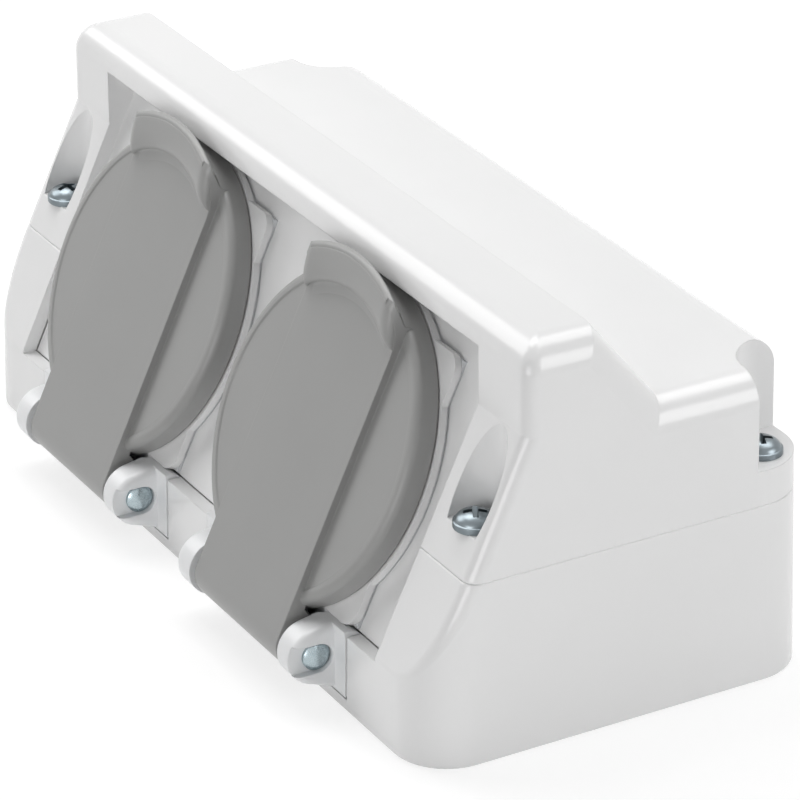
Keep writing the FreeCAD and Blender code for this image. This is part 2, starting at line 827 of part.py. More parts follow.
def make_socket_front(label, side):
    """The insert's front: the flange, the raised collar and the cup that takes the plug."""
    body = new_body(f"{label}_socket_front")
    half = size.flange_width / 2
    sketch = new_sketch(body, "XY_Plane", flange_back)
    rectangle(sketch, -half, -half, half, half)
    pad(sketch, size.flange_thickness)
    fillet(body, size.flange_corner,
           lambda p: abs(p.x) > half.number - 0.1 and abs(p.y) > half.number - 0.1)
    sketch = new_sketch(body, "XY_Plane", flange_back)
    circle(sketch, 0, 0, cup_radius - size.cup_wall / 2)
    pocket(sketch, size.flange_thickness + 1, backwards=True)
    sketch = new_sketch(body, "XZ_Plane")
    bore = size.plug_recess_radius
    lead = size.collar_lead
    outline(sketch, [
        (0, cup_back),
        (cup_radius, cup_back),
        (cup_radius, flange_back),
        (size.flange_radius, flange_back),
        (size.flange_radius, flange_front),
        (size.collar_radius, flange_front),
        (size.collar_radius, collar_front - lead),
        (size.collar_radius - lead, collar_front),
        (bore + lead, collar_front),
        (bore, collar_front - lead),
        (bore, recess_floor),
        (0, recess_floor),
    ])
    revolve(sketch, "V_Axis")
    trim_below(body, half, size.flange_thickness)
    # Guide ribs at the sides of the cup
    for side_of_cup in (-1, 1):
        sketch = new_sketch(body, "XY_Plane", recess_floor - bite)
        rectangle(sketch, side_of_cup * (bore - size.guide_rib_depth), -size.guide_rib_width / 2,
                  side_of_cup * (bore + size.cup_wall / 2), size.guide_rib_width / 2)
        pad(sketch, size.plug_recess_depth - size.guide_rib_inset + bite)
    # Holes for the plug's pins, and slots for the earth clip
    sketch = new_sketch(body, "XY_Plane", cup_back)
    for side_of_cup in (-1, 1):
        circle(sketch, side_of_cup * size.pin_spacing / 2, 0, size.pin_hole_radius)
    pocket(sketch, size.cup_floor + 1, backwards=True)
    clip_half = size.earth_width / 2 + size.earth_gap
    for side_of_cup in (-1, 1):
        sketch = new_sketch(body, "XY_Plane", cup_back)
        rectangle(sketch, -clip_half, side_of_cup * (earth_inner_edge() - size.earth_gap),
                  clip_half, side_of_cup * (earth_outer_edge() + size.earth_gap))
        pocket(sketch, size.plug_recess_depth + size.cup_floor - size.earth_slot_inset, backwards=True)
    return place_socket(body, side)


def trim_below(body, edge, thickness):
    """Cuts the round flange off level with its square part, just above the hinge bracket."""
    sketch = new_sketch(body, "YZ_Plane")
    start = flange_back - size.gasket_thickness
    rectangle(sketch, -far, start, -edge, start + 2 * (thickness + size.gasket_thickness))
    pocket(sketch, 2 * size.flange_width, symmetric=True)


def earth_outer_edge():
    return size.plug_recess_radius + size.cup_wall / 2 - size.earth_gap


def earth_inner_edge():
    return earth_outer_edge() - size.earth_thickness


def make_flange_gasket(label, side):
    body = new_body(f"{label}_flange_gasket")
    half = size.flange_width / 2 - size.gasket_inset
    sketch = new_sketch(body, "XY_Plane", panel_front)
    rectangle(sketch, -half, -half, half, half)
    pad(sketch, size.gasket_thickness)
    sketch = new_sketch(body, "XY_Plane", panel_front)
    circle(sketch, 0, 0, size.flange_radius - size.gasket_inset)
    pad(sketch, size.gasket_thickness)
    trim_below(body, half, size.gasket_thickness)
    sketch = new_sketch(body, "XY_Plane", panel_front)
    circle(sketch, 0, 0, cup_radius + size.cup_gap)
    pocket(sketch, size.gasket_thickness + 1, backwards=True)
    return place_socket(body, side)


def make_contact_carrier(label, side):
    """The block behind the cup that holds the contact sleeves, on four short posts."""
    body = new_body(f"{label}_contact_carrier")
    front = cup_back - size.earth_thickness - 2 * size.earth_gap
    half_x = size.carrier_length / 2
    half_y = size.carrier_height / 2
    sketch = new_sketch(body, "XY_Plane", front)
    rectangle(sketch, -half_x, -half_y, half_x, half_y)
    pad(sketch, size.carrier_thickness, backwards=True)
    fillet(body, size.carrier_corner,
           lambda p: abs(p.x) > half_x.number - 0.1 and abs(p.y) > half_y.number - 0.1)
    sketch = new_sketch(body, "XY_Plane", front)
    for across in (-1, 1):
        for up in (-1, 1):
            circle(sketch, across * (half_x - size.carrier_corner - 1),
                   up * (half_y - size.carrier_corner), size.carrier_post_radius)
    pad(sketch, cup_back - front)
    sketch = new_sketch(body, "XY_Plane", front)
    for across in (-1, 1):
        circle(sketch, across * size.pin_spacing / 2, 0,
               size.sleeve_bore_radius + size.sleeve_wall + size.earth_gap)
    pocket(sketch, size.carrier_thickness + 1)
    return place_socket(body, side)


def make_contact(label, name, side, across):
    """A slit sleeve for one plug pin, with its terminal block behind the carrier."""
    body = new_body(f"{label}_{name}_contact")
    top = cup_back - size.screw_hole_gap
    middle = across * size.pin_spacing / 2
    sketch = new_sketch(body, "XY_Plane", top)
    circle(sketch, middle, 0, size.sleeve_bore_radius + size.sleeve_wall)
    pad(sketch, size.sleeve_length, backwards=True)
    sketch = new_sketch(body, "XY_Plane", top - size.sleeve_length)
    half = size.terminal_width / 2
    rectangle(sketch, middle - half, -half, middle + half, half)
    pad(sketch, size.terminal_length, backwards=True)
    sketch = new_sketch(body, "XY_Plane", top)
    circle(sketch, middle, 0, size.sleeve_bore_radius)
    pocket(sketch, size.sleeve_length)
    sketch = new_sketch(body, "XY_Plane", top)
    reach = size.sleeve_bore_radius + 2 * size.sleeve_wall
    rectangle(sketch, middle - reach, -size.sleeve_slit / 2, middle + reach, size.sleeve_slit / 2)
    pocket(sketch, size.sleeve_slit_length)
    # The hole for the wire from behind, and the tapped hole for its screw
    sketch = new_sketch(body, "XY_Plane", top - size.sleeve_length - size.terminal_length)
    circle(sketch, middle, 0, size.terminal_hole_radius)
    pocket(sketch, size.terminal_length - 1, backwards=True)
    sketch = new_sketch(body, "XZ_Plane", -half)
    circle(sketch, middle, terminal_height(), size.terminal_hole_radius)
    pocket(sketch, half, backwards=True)
    return place_socket(body, side)


def terminal_height():
    return cup_back - size.screw_hole_gap - size.sleeve_length - size.terminal_length / 2


def make_terminal_screw(label, name, side, across):
    body = new_body(f"{label}_{name}_terminal_screw")
    sketch = new_sketch(body, "XY_Plane")
    middle = across * size.pin_spacing / 2
    seat = size.terminal_width / 2
    tip = size.terminal_hole_radius
    shank = size.terminal_hole_radius - size.screw_bite_gap
    # The half section of the screw, turned about its own axis
    outline(sketch, [
        (0, tip - seat),
        (shank, tip - seat),
        (shank, 0),
        (size.terminal_head_radius, 0),
        (size.terminal_head_radius, size.terminal_rim_height),
        (size.terminal_top_radius, size.terminal_head_height),
        (0, size.terminal_head_height),
    ])
    revolve(sketch, "V_Axis")
    sketch = new_sketch(body, "XZ_Plane", -size.terminal_head_height)
    rectangle(sketch, -size.terminal_slot_length / 2, -size.cross_width / 2,
              size.terminal_slot_length / 2, size.cross_width / 2)
    pocket(sketch, size.terminal_head_height / 2, backwards=True)
    # The screw stands on the upper face of the terminal block
    up = seat
    out = terminal_height()
    depth = socket_depth + up * sine(size.lean) - out * cosine(size.lean)
    height = socket_height + up * cosine(size.lean) + out * sine(size.lean)
    place(body, side * size.socket_pitch / 2 + middle, depth, height, tilt)
    return body


def make_earth_clip(label, side):
    """One bent strip: two springy arms in the sides of the cup, joined behind its floor."""
    body = new_body(f"{label}_earth_clip")
    outer = earth_outer_edge()
    inner = earth_inner_edge()
    bump = size.earth_bump
    top = collar_front - size.earth_bump_length
    peak = top - size.earth_bump_length
    foot = peak - size.earth_bump_length
    behind = cup_back - size.earth_gap
    under = behind - size.earth_thickness
    arm = [
        (inner, behind),
        (inner, foot),
        (inner - bump, peak),
        (inner, top),
        (outer, top),
        (outer - bump, peak),
        (outer, foot),
        (outer, under),
    ]
    corners = arm + [(-up, out) for up, out in reversed(arm)]
    sketch = new_sketch(body, "YZ_Plane")
    outline(sketch, corners)
    pad(sketch, size.earth_width, symmetric=True)
    return place_socket(body, side)


# Lids

def make_lid(label, side):
    """A round cap with a skirt, and a raised strap from the hinge barrel to a flared thumb grip."""
    body = new_body(f"{label}_lid")
    add_thumb_grip(body)
    face = size.lid_face
    under = face - size.lid_thickness
    edge = size.lid_edge_radius
    radius = size.lid_radius
    step = radius - size.step_inset
    sketch = new_sketch(body, "XZ_Plane")
    outline(sketch, [
        (0, face - size.step_depth),
        (0, under),
        (radius - size.skirt_wall, under),
        (radius - size.skirt_wall, skirt_back),
        (radius, skirt_back),
        (radius, face - edge, edge, BULGE_RIGHT),
        (radius - edge, face),
        (step, face),
        (step - size.step_depth, face - size.step_depth),
    ])
    revolve(sketch, "V_Axis")
    # The strap lies flat on the face and runs tangent into the barrel
    strap_end = root(radius * radius - size.strap_width * size.strap_width / 4)
    sketch = new_sketch(body, "YZ_Plane")
    outline(sketch, [
        (hinge_up, strap_face, barrel_radius, BULGE_RIGHT),
        (hinge_up - barrel_radius, hinge_out, barrel_radius, BULGE_RIGHT),
        (hinge_up, hinge_out - barrel_radius, barrel_radius, BULGE_RIGHT),
        (hinge_up + barrel_radius, hinge_out),
        (hinge_up + barrel_radius + 1, under + size.grip_bite),
        (strap_end, under + size.grip_bite),
        (strap_end, strap_face),
    ])
    pad(sketch, size.strap_width, symmetric=True)
    # Bore for the pin, and the bay for the closing spring
    sketch = new_sketch(body, "YZ_Plane")
    circle(sketch, hinge_up, hinge_out, size.hinge_pin_radius + size.hinge_running_gap)
    pocket(sketch, size.strap_width + 2, symmetric=True)
    sketch = new_sketch(body, "YZ_Plane")
    circle(sketch, hinge_up, hinge_out, size.spring_bay_radius)
    pocket(sketch, size.spring_bay, symmetric=True)
    sketch = new_sketch(body, "YZ_Plane")
    rectangle(sketch, hinge_up - barrel_radius - 1, hinge_out - 2 * barrel_radius,
              -radius + size.skirt_wall + size.spring_bay_reach, under)
    pocket(sketch, size.spring_bay, symmetric=True)
    return place_socket(body, side)


def add_thumb_grip(body):
    """A wall that curls up out of the strap and leans out over the rim, as wide as the strap."""
    foot = size.grip_foot_radius
    crest = size.grip_inside_radius
    rise = size.grip_height
    top = strap_face + rise
    curl = ((crest - foot) * (crest - foot) + rise * rise) / (2 * rise)
    bottom = size.lid_face - size.lid_thickness + size.grip_bite
    sketch = new_sketch(body, "YZ_Plane")
    outline(sketch, [
        (foot, bottom),
        (size.lid_radius, bottom),
        (size.lid_radius, size.lid_face + size.grip_lean_start),
        (crest + size.grip_lip, top - size.grip_lip_drop, size.grip_lip_radius, BULGE_RIGHT),
        (crest, top, curl, BULGE_LEFT),
        (foot, strap_face),
    ])
    revolve(sketch, "V_Axis", angle=90, symmetric=True)
    half = size.strap_width / 2
    corner = size.grip_end_radius
    for side in (-1, 1):
        bulge = BULGE_LEFT if side > 0 else BULGE_RIGHT
        sketch = new_sketch(body, "XZ_Plane")
        outline(sketch, [
            (side * half, bottom - 1),
            (side * half, top - corner, corner, -bulge),
            (side * (half - corner), top),
            (side * (half - corner), top + 1),
            (side * far, top + 1),
            (side * far, bottom - 1),
        ])
        pocket(sketch, far)


def make_lid_seal(label, side):
    """A soft ring under the lid that closes on the collar."""
    body = new_body(f"{label}_lid_seal")
    outer = size.collar_radius
    inner = outer - size.lid_seal_width
    top = size.lid_face - size.lid_thickness
    bottom = collar_front + size.lid_seal_gap
    middle = (outer + inner) / 2
    bevel = size.lid_seal_bevel
    sketch = new_sketch(body, "XZ_Plane")
    outline(sketch, [
        (inner, top),
        (inner + bevel, bottom + size.lid_seal_bevel_height),
        (middle, bottom),
        (outer - bevel, bottom + size.lid_seal_bevel_height),
        (outer, top),
    ])
    revolve(sketch, "V_Axis")
    return place_socket(body, side)


# Hinges. Their own frame is the housing's, moved along X to the socket's middle

def tangent_point(from_depth, from_height, below):
    """Where a line from a point on the plate touches the round of the ear."""
    radius = size.ear_radius
    run = from_depth + size.hinge_forward
    rise = from_height - size.hinge_height
    reach_squared = run * run + rise * rise
    along = radius * radius / reach_squared
    across = radius * root(reach_squared - radius * radius) / reach_squared
    turn = 1 if below else -1
    depth = -size.hinge_forward + along * run + turn * across * rise
    height = size.hinge_height + along * rise - turn * across * run
    return depth, height


def make_hinge_bracket(label, side):
    """A plate in the cut-out of the front wall, with two ears in front of it that hold the pin."""
    body = new_body(f"{label}_hinge_bracket")
    foot = size.bracket_foot
    flange_edge = size.socket_rise - size.flange_width / 2
    shelf_depth, shelf_height = leaning(flange_edge, flange_front)
    ear_foot = tangent_point(as_size(0), foot, True)
    ear_top = tangent_point(shelf_depth, shelf_height, False)
    top_slope = (shelf_height - ear_top[1]) / (shelf_depth - ear_top[0])
    sketch = new_sketch(body, "YZ_Plane")
    outline(sketch, [
        (0, foot),
        (0, shelf_height - shelf_depth * top_slope),
        (shelf_depth, shelf_height),
        leaning(flange_edge, flange_back),
        (web_back, size.ledge_height - 2 * size.bracket_gap),
        (web_back, foot),
    ])
    pad(sketch, size.flange_width, symmetric=True)
    for side_of_lid in (-1, 1):
        sketch = new_sketch(body, "YZ_Plane", side_of_lid * (ear_inside + ear_outside) / 2)
        outline(sketch, [
            (0, foot),
            (ear_foot[0], ear_foot[1], size.ear_radius, BULGE_LEFT),
            ear_top,
            (shelf_depth, shelf_height),
        ])
        pad(sketch, size.ear_thickness, symmetric=True)
    # Room for the barrel between the ears, and for the lid's rim
    sketch = new_sketch(body, "YZ_Plane")
    rectangle(sketch, -far, -1, web_front, far)
    pocket(sketch, 2 * ear_inside, symmetric=True)
    sketch = tilted_sketch(body, socket_depth, socket_height, flange_front)
    circle(sketch, 0, 0, size.lid_radius + size.lid_clearance)
    pocket(sketch, far, backwards=True)
    end = ear_outside.number
    fillet(body, size.ear_edge_radius, lambda p: (
        near(abs(p.x), end) and p.y < ear_top[0].number + 0.02))
    # A slot for the pin's head in the right ear, and the bore, blind in the left ear
    slot = size.pin_head_radius + size.pin_pocket_gap
    middle = -size.hinge_forward
    height = size.hinge_height
    sketch = new_sketch(body, "YZ_Plane", ear_outside)
    outline(sketch, [
        (middle - 2 * size.ear_radius, height - slot),
        (middle, height - slot, slot, BULGE_RIGHT),
        (middle + slot, height, slot, BULGE_RIGHT),
        (middle, height + slot),
        (middle - 2 * size.ear_radius, height + slot),
    ])
    pocket(sketch, size.pin_pocket_depth)
    sketch = new_sketch(body, "YZ_Plane", ear_outside)
    circle(sketch, middle, height, size.hinge_pin_radius + size.hinge_running_gap)
    pocket(sketch, 2 * ear_outside - size.pin_end_inset + size.bracket_gap)
    place(body, side * size.socket_pitch / 2, 0, 0)
    return body


def make_hinge_pin(label, side):
    body = new_body(f"{label}_hinge_pin")
    end = -ear_outside + size.pin_end_inset
    seat = ear_outside - size.pin_pocket_depth
    tip = seat + size.pin_head_height
    head = size.pin_head_radius
    sketch = new_sketch(body, "XY_Plane")
    outline(sketch, [
        (end, 0),
        (end, size.hinge_pin_radius),
        (seat, size.hinge_pin_radius),
        (seat, head),
        (seat + size.pin_rim_height, head, size.pin_dome_radius, BULGE_LEFT),
        (tip, 0),
    ])
    revolve(sketch, "H_Axis")
    place(body, side * size.socket_pitch / 2, -size.hinge_forward, size.hinge_height)
    return body


def make_lid_spring(label, side):
    """A closing spring: a coil round the pin, one leg on the web and one behind the strap."""
    wire = size.spring_wire_radius.number
    radius = size.spring_radius.number
    turns = size.spring_turns.number + (180 + tilt.number) / 360
    width = turns * size.spring_pitch.number
    left_handed = True
    helix = Part.makeHelix(size.spring_pitch.number, width, radius, 0, left_handed)
    profile = Part.Wire([Part.makeCircle(wire, Vector(radius, 0, 0), Vector(0, 1, 0))])
    coil = Part.Wire(helix.Edges).makePipeShell([profile], True, True)
    # The coil's axis lies along X; both legs leave it on the side of the web
    coil.Placement = Placement(Vector(width / 2, 0, 0), Rotation(Vector(0, 1, 0), -90))
    gap = size.bracket_gap.number
    to_web = size.hinge_forward.number + web_front.number - gap
    web_leg = Part.makeCylinder(wire, to_web, Vector(width / 2, 0, radius), Vector(0, 1, 0))
    up_along = Vector(0, sine(size.lean).number, cosine(size.lean).number)
    out_of = Vector(0, -cosine(size.lean).number, sine(size.lean).number)
    lid_leg_start = Vector(-width / 2, 0, 0) - out_of * radius
    lid_leg = Part.makeCylinder(wire, radius + size.spring_leg_reach.number, lid_leg_start, up_along)
    shape = coil.fuse([web_leg, lid_leg], size.join_tolerance.number)
    spring = doc.addObject("Part::Feature", f"{label}_lid_spring")
    spring.Label = f"{label}_lid_spring"
    spring.Shape = shape
    across = side * size.socket_pitch.number / 2
    depth = -size.hinge_forward.number - size.housing_depth.number / 2
    spring.Placement = Placement(Vector(across, depth, size.hinge_height.number), Rotation())
    return spring


def make_parts():
    parts = [make_lower_shell(), make_upper_shell(), make_housing_seal(), make_cable_grommet()]
    for name, (across, depth) in screw_places().items():
        parts.append(make_housing_screw(name, across, depth))
    for label, side in (("left", -1), ("right", 1)):
        parts.append(make_socket_front(label, side))
        parts.append(make_flange_gasket(label, side))
        parts.append(make_contact_carrier(label, side))
        parts.append(make_earth_clip(label, side))
        for name, across in (("live", -1), ("neutral", 1)):
            parts.append(make_contact(label, name, side, across))
            parts.append(make_terminal_screw(label, name, side, across))
        parts.append(make_lid(label, side))
        parts.append(make_lid_seal(label, side))
        parts.append(make_hinge_bracket(label, side))
        parts.append(make_hinge_pin(label, side))
        parts.append(make_lid_spring(label, side))
    return parts


def write_parts(parts):
    doc.recompute()
    for item in doc.Objects:
        if "Invalid" in item.State or "Error" in item.State:
            raise ValueError(f"{item.Label} is {item.State}")
    os.makedirs("parts", exist_ok=True)
    for part in parts:
        if part.Shape.isNull() or not part.Shape.isValid() or part.Shape.Volume <= 0:
            raise ValueError(f"{part.Label} has no valid shape")
        part.Shape.exportStep(f"parts/{part.Label}.step")


write_parts(make_parts())
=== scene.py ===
import math

import bmesh
import bpy
from mathutils import Euler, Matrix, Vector


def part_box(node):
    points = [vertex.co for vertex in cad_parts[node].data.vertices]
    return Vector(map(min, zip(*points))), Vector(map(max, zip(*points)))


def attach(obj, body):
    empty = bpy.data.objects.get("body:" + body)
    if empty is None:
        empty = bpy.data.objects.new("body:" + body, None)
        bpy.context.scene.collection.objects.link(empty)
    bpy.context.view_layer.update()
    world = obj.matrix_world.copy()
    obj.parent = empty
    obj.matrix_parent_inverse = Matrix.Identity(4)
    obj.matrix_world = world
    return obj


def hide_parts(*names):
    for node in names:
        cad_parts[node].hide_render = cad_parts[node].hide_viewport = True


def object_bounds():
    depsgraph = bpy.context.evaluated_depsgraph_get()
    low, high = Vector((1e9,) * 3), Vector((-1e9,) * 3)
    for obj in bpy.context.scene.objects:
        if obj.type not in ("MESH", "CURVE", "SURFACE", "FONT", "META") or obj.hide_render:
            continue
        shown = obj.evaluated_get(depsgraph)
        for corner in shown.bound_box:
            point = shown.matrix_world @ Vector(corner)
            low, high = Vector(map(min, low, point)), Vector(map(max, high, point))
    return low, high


# Double outdoor socket: a white housing on its wall face, two grey lids leaning against its front.
# X runs along the housing, -Y is the front, +Z points away from the wall. Lengths are metres, and
# millimetres in the tables of the screws and the thumb grips.

MM = 0.001

# The camera stands where the photograph was taken from
CAMERA_PLACE = Vector((0.58564, -0.32608, 0.35424))
CAMERA_TURN = Euler((math.radians(63.656), math.radians(0.269), math.radians(60.423)))
CAMERA_LENS = 202.70
CAMERA_SENSOR = 36
CAMERA_CLIP = 0.01

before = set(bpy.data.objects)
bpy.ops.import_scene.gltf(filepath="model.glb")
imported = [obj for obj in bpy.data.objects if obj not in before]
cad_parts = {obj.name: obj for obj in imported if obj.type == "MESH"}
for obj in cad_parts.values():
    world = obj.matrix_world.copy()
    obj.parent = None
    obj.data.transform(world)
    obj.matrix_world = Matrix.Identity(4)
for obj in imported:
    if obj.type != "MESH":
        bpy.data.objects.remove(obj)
cad_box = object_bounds()


# Materials

# The size of the patches over which the colour of a moulding or a plating drifts
PLASTIC_PATCH = 18 * MM
PLATING_PATCH = 1.5 * MM
# How much smoother and how much rougher than its roughness a plating gets
PLATING_SMOOTHER, PLATING_ROUGHER = 0.06, 0.08
# How far the shading of a moulded edge is rounded, and with how many samples
EDGE_RADIUS = 0.3 * MM
EDGE_SAMPLES = 4
# The colour sockets of a mix node, which share their names with the number and vector sockets
MIX_A, MIX_B, MIX_RESULT = 6, 7, 2


def linear(hex_colour):
    """An sRGB colour such as "#c8ccd0" as the linear RGBA that shaders take."""
    channels = [int(hex_colour[i:i + 2], 16) / 255 for i in (1, 3, 5)]
    return [c / 12.92 if c <= 0.04045 else ((c + 0.055) / 1.055) ** 2.4 for c in channels] + [1.0]


def add_node(material, kind, settings=None, links=None):
    """Adds a shader node. Settings are its properties or unlinked sockets, links feed its sockets."""
    node = material.node_tree.nodes.new(kind)
    for name, value in (settings or {}).items():
        if hasattr(node, name):
            setattr(node, name, value)
        else:
            node.inputs[name].default_value = value
    for name, source in (links or {}).items():
        material.node_tree.links.new(source, node.inputs[name])
    return node


def new_material(name):
    material = bpy.data.materials.new(name)
    material.use_nodes = True
    material.node_tree.nodes.clear()
    return material


def clouded(material, place, patch, detail, colour, shade):
    """The colour socket of two close tones in soft patches."""
    clouds = add_node(material, "ShaderNodeTexNoise", {"Scale": 1 / patch, "Detail": detail},
                      {"Vector": place})
    tone = add_node(material, "ShaderNodeMix", {"data_type": "RGBA"}, {"Factor": clouds.outputs["Fac"]})
    tone.inputs[MIX_A].default_value = linear(colour)
    tone.inputs[MIX_B].default_value = linear(shade)
    return tone.outputs[MIX_RESULT]


def moulded_plastic(name, colour, shade, ior, roughness, grain, bump, spread=0.05):
    """A moulded plastic: colour that drifts slightly, and a skin as fine as the mould's finish.

    Grain is the mould texture's size and bump its height, both in millimetres. Spread is how far
    the roughness varies.
    """
    material = new_material(name)
    place = add_node(material, "ShaderNodeTexCoord").outputs["Object"]
    tone = clouded(material, place, PLASTIC_PATCH, 2.0, colour, shade)
    skin = add_node(material, "ShaderNodeTexNoise", {"Scale": 1 / (grain * MM), "Detail": 3.0},
                    {"Vector": place})
    gloss = add_node(material, "ShaderNodeMapRange",
                     {"To Min": roughness - spread, "To Max": roughness + spread},
                     {"Value": skin.outputs["Fac"]})
    # A moulded edge is never sharp, so light catches it
    edge = add_node(material, "ShaderNodeBevel", {"Radius": EDGE_RADIUS, "samples": EDGE_SAMPLES})
    relief = add_node(material, "ShaderNodeBump", {"Distance": bump * MM, "Strength": 1.0},
                      {"Height": skin.outputs["Fac"], "Normal": edge.outputs["Normal"]})
    surface = add_node(material, "ShaderNodeBsdfPrincipled", {"IOR": ior},
                       {"Base Color": tone, "Roughness": gloss.outputs["Result"],
                        "Normal": relief.outputs["Normal"]})
    add_node(material, "ShaderNodeOutputMaterial", None, {"Surface": surface.outputs["BSDF"]})
    return material


def plated_metal(name, colour, shade, roughness, grain, bump):
    """A plated metal: a little brighter and darker in patches, with a finely pitted skin."""
    material = new_material(name)
    place = add_node(material, "ShaderNodeTexCoord").outputs["Object"]
    tone = clouded(material, place, PLATING_PATCH, 3.0, colour, shade)
    skin = add_node(material, "ShaderNodeTexNoise", {"Scale": 1 / (grain * MM), "Detail": 2.0},
                    {"Vector": place})
    gloss = add_node(material, "ShaderNodeMapRange",
                     {"To Min": roughness - PLATING_SMOOTHER, "To Max": roughness + PLATING_ROUGHER},
                     {"Value": skin.outputs["Fac"]})
    relief = add_node(material, "ShaderNodeBump", {"Distance": bump * MM, "Strength": 1.0},
                      {"Height": skin.outputs["Fac"]})
    surface = add_node(material, "ShaderNodeBsdfPrincipled", {"Metallic": 1.0},
                       {"Base Color": tone, "Roughness": gloss.outputs["Result"],
                        "Normal": relief.outputs["Normal"]})
    add_node(material, "ShaderNodeOutputMaterial", None, {"Surface": surface.outputs["BSDF"]})
    return material


# Polycarbonate from a polished mould: glossy neutral white, reflections soft at the edges
polycarbonate = moulded_plastic("white_polycarbonate", "#f0f0f0", "#ececec", 1.585, 0.20, 0.9, 0.002)
# Polyamide hinge brackets: the same white, a touch cooler, with a duller skin
polyamide = moulded_plastic("white_polyamide", "#f1f2f3", "#ecedee", 1.53, 0.32, 0.5, 0.004)
# Urea moulding for the socket fronts: dense, neutral white, glossy
urea = moulded_plastic("white_urea", "#eeeeee", "#e9e9e9", 1.54, 0.18, 0.7, 0.002)
# ABS lids from a mould with a light satin texture: mid grey, broad soft highlights
grey_abs = moulded_plastic("grey_abs", "#9f9f9e", "#999998", 1.53, 0.36, 0.35, 0.006)
# EPDM rubber seals and cable bush: dark and dull
epdm = moulded_plastic("grey_epdm", "#55585a", "#4c4f51", 1.50, 0.65, 0.3, 0.010)
# Silicone gaskets under the flanges: pale grey, soft sheen
silicone = moulded_plastic("pale_silicone", "#d6d8da", "#cdd0d2", 1.43, 0.45, 0.4, 0.004)
# Glass-filled polyester carriers: off-white, matt, faintly mottled by the filler
filled_polyester = moulded_plastic("filled_polyester", "#d9d7d0", "#cbc8bf", 1.57, 0.50, 0.25, 0.006)
# Steel hinge pins with fresh blue zinc plating: cool and bright, slightly clouded
bright_zinc = plated_metal("bright_zinc_pin", "#b9c6ca", "#9aa8ae", 0.26, 0.20, 0.004)
# Steel screws and springs with zinc plating, a little duller than the pins; its colour is darkened as
# painted shade for the shaded wells they sit in
zinc_plate_painted_shade = plated_metal("zinc_plated_steel_painted_shade", "#868e92", "#697277", 0.30, 0.20, 0.004)
# Brass contacts with thin nickel plating: warm, smooth metal
nickel_plate = plated_metal("nickel_plated_brass", "#d6cdb4", "#c2b795", 0.22, 0.20, 0.003)

FINISHES = {
    "shell": polycarbonate,
    "lid_seal": epdm,
    "seal": epdm,
    "gasket": silicone,
    "grommet": epdm,
    "socket_front": urea,
    "contact_carrier": filled_polyester,
    "hinge_bracket": polyamide,
    "lid_spring": zinc_plate_painted_shade,
    "screw": zinc_plate_painted_shade,
    "hinge_pin": bright_zinc,
    "contact": nickel_plate,
    "earth_clip": nickel_plate,
    "lid": grey_abs,
}


def finish_of(node_name):
    """The finish under the longest of the words that the node's name holds."""
    known = [word for word in FINISHES if word in node_name]
    return FINISHES[max(known, key=len)]


for node_name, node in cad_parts.items():
    node.data.materials.clear()
    node.data.materials.append(finish_of(node_name))


# Pieces of the scene's own

# Points closer than this are one point
MERGE_DISTANCE = 0.001 * MM


def ring_faces(rings, columns):
    """Quads between neighbouring rings of points, each ring closed in itself."""
    faces = []
    for ring in range(rings - 1):
        first, above = ring * columns, (ring + 1) * columns
        for column in range(columns):
            after = (column + 1) % columns
            faces.append((first + column, first + after, above + after, above + column))
    return faces


def face_outwards(mesh):
    """Merges doubled points and turns every face outwards."""
    shape = bmesh.new()
    shape.from_mesh(mesh)
    bmesh.ops.remove_doubles(shape, verts=shape.verts, dist=MERGE_DISTANCE)
    bmesh.ops.recalc_face_normals(shape, faces=shape.faces)
    shape.to_mesh(mesh)
    shape.free()


def new_mesh(name, points, faces):
    """A mesh from points in millimetres."""
    mesh = bpy.data.meshes.new(name)
    mesh.from_pydata([tuple(c * MM for c in point) for point in points], [], faces)
    face_outwards(mesh)
    return mesh


def new_piece(name, points, faces, material, body):
    """A smooth piece from points in millimetres, which rides on a body of the frame."""
    mesh = new_mesh(name, points, faces)
    mesh.materials.append(material)
    for polygon in mesh.polygons:
        polygon.use_smooth = True
    piece = bpy.data.objects.new(name, mesh)
    bpy.context.scene.collection.objects.link(piece)
    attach(piece, body)
    return piece


# Housing screws: pan heads with a cross recess on a self-tapping thread. The head's outline runs
# from the middle of its top to the shank, as (radius, height over the seat)
SCREW_HEAD = [(0.0, 2.70), (0.8, 2.66), (1.5, 2.53), (2.1, 2.31), (2.6, 2.01), (2.95, 1.68),
              (3.12, 1.40), (3.2, 1.16), (3.36, 1.12), (3.47, 1.02), (3.5, 0.88), (3.5, 0.12),
              (3.42, 0.0), (1.9, 0.0)]
HEAD_HEIGHT = SCREW_HEAD[0][1]
SCREW_SEGMENTS = 40
SCREW_LENGTH = 23.8
THREAD_START = 0.4
THREAD_CREST = 1.88
THREAD_ROOT = 1.45
THREAD_PITCH = 1.6
# The ridge of the thread takes this share of its pitch
THREAD_RIDGE = 0.5
ROWS_PER_TURN = 8
# The thread narrows to its point over this length, down to this share of its radius
POINT_LENGTH = 2.2
POINT_TIP = 0.06
# Each bar of the cross recess narrows as it goes down: (height from the head's top, share of the
# length, share of the width)
RECESS_LENGTH = 4.6
RECESS_WIDTH = 0.95
RECESS_LEVELS = [(0.6, 1.06, 1.027), (-0.935, 0.62, 0.829), (-1.7, 0.22, 0.649)]
SCREW_SHARP = math.radians(32)
# How far each cross is turned, as the screwdriver left it
SCREW_TURNS = {"front_left": 12, "front_right": -28, "back_left": 35, "back_right": -20}


def thread_radius(height, turn):
    """The shank's radius at a height below the seat and at a share of a turn round it."""
    phase = (-height / THREAD_PITCH + turn) % 1
    ridge = max(0.0, 1 - abs(phase - 0.5) * 2 / THREAD_RIDGE)
    radius = THREAD_ROOT + (THREAD_CREST - THREAD_ROOT) * ridge
    return radius * min(1.0, (SCREW_LENGTH + height) / POINT_LENGTH + POINT_TIP)


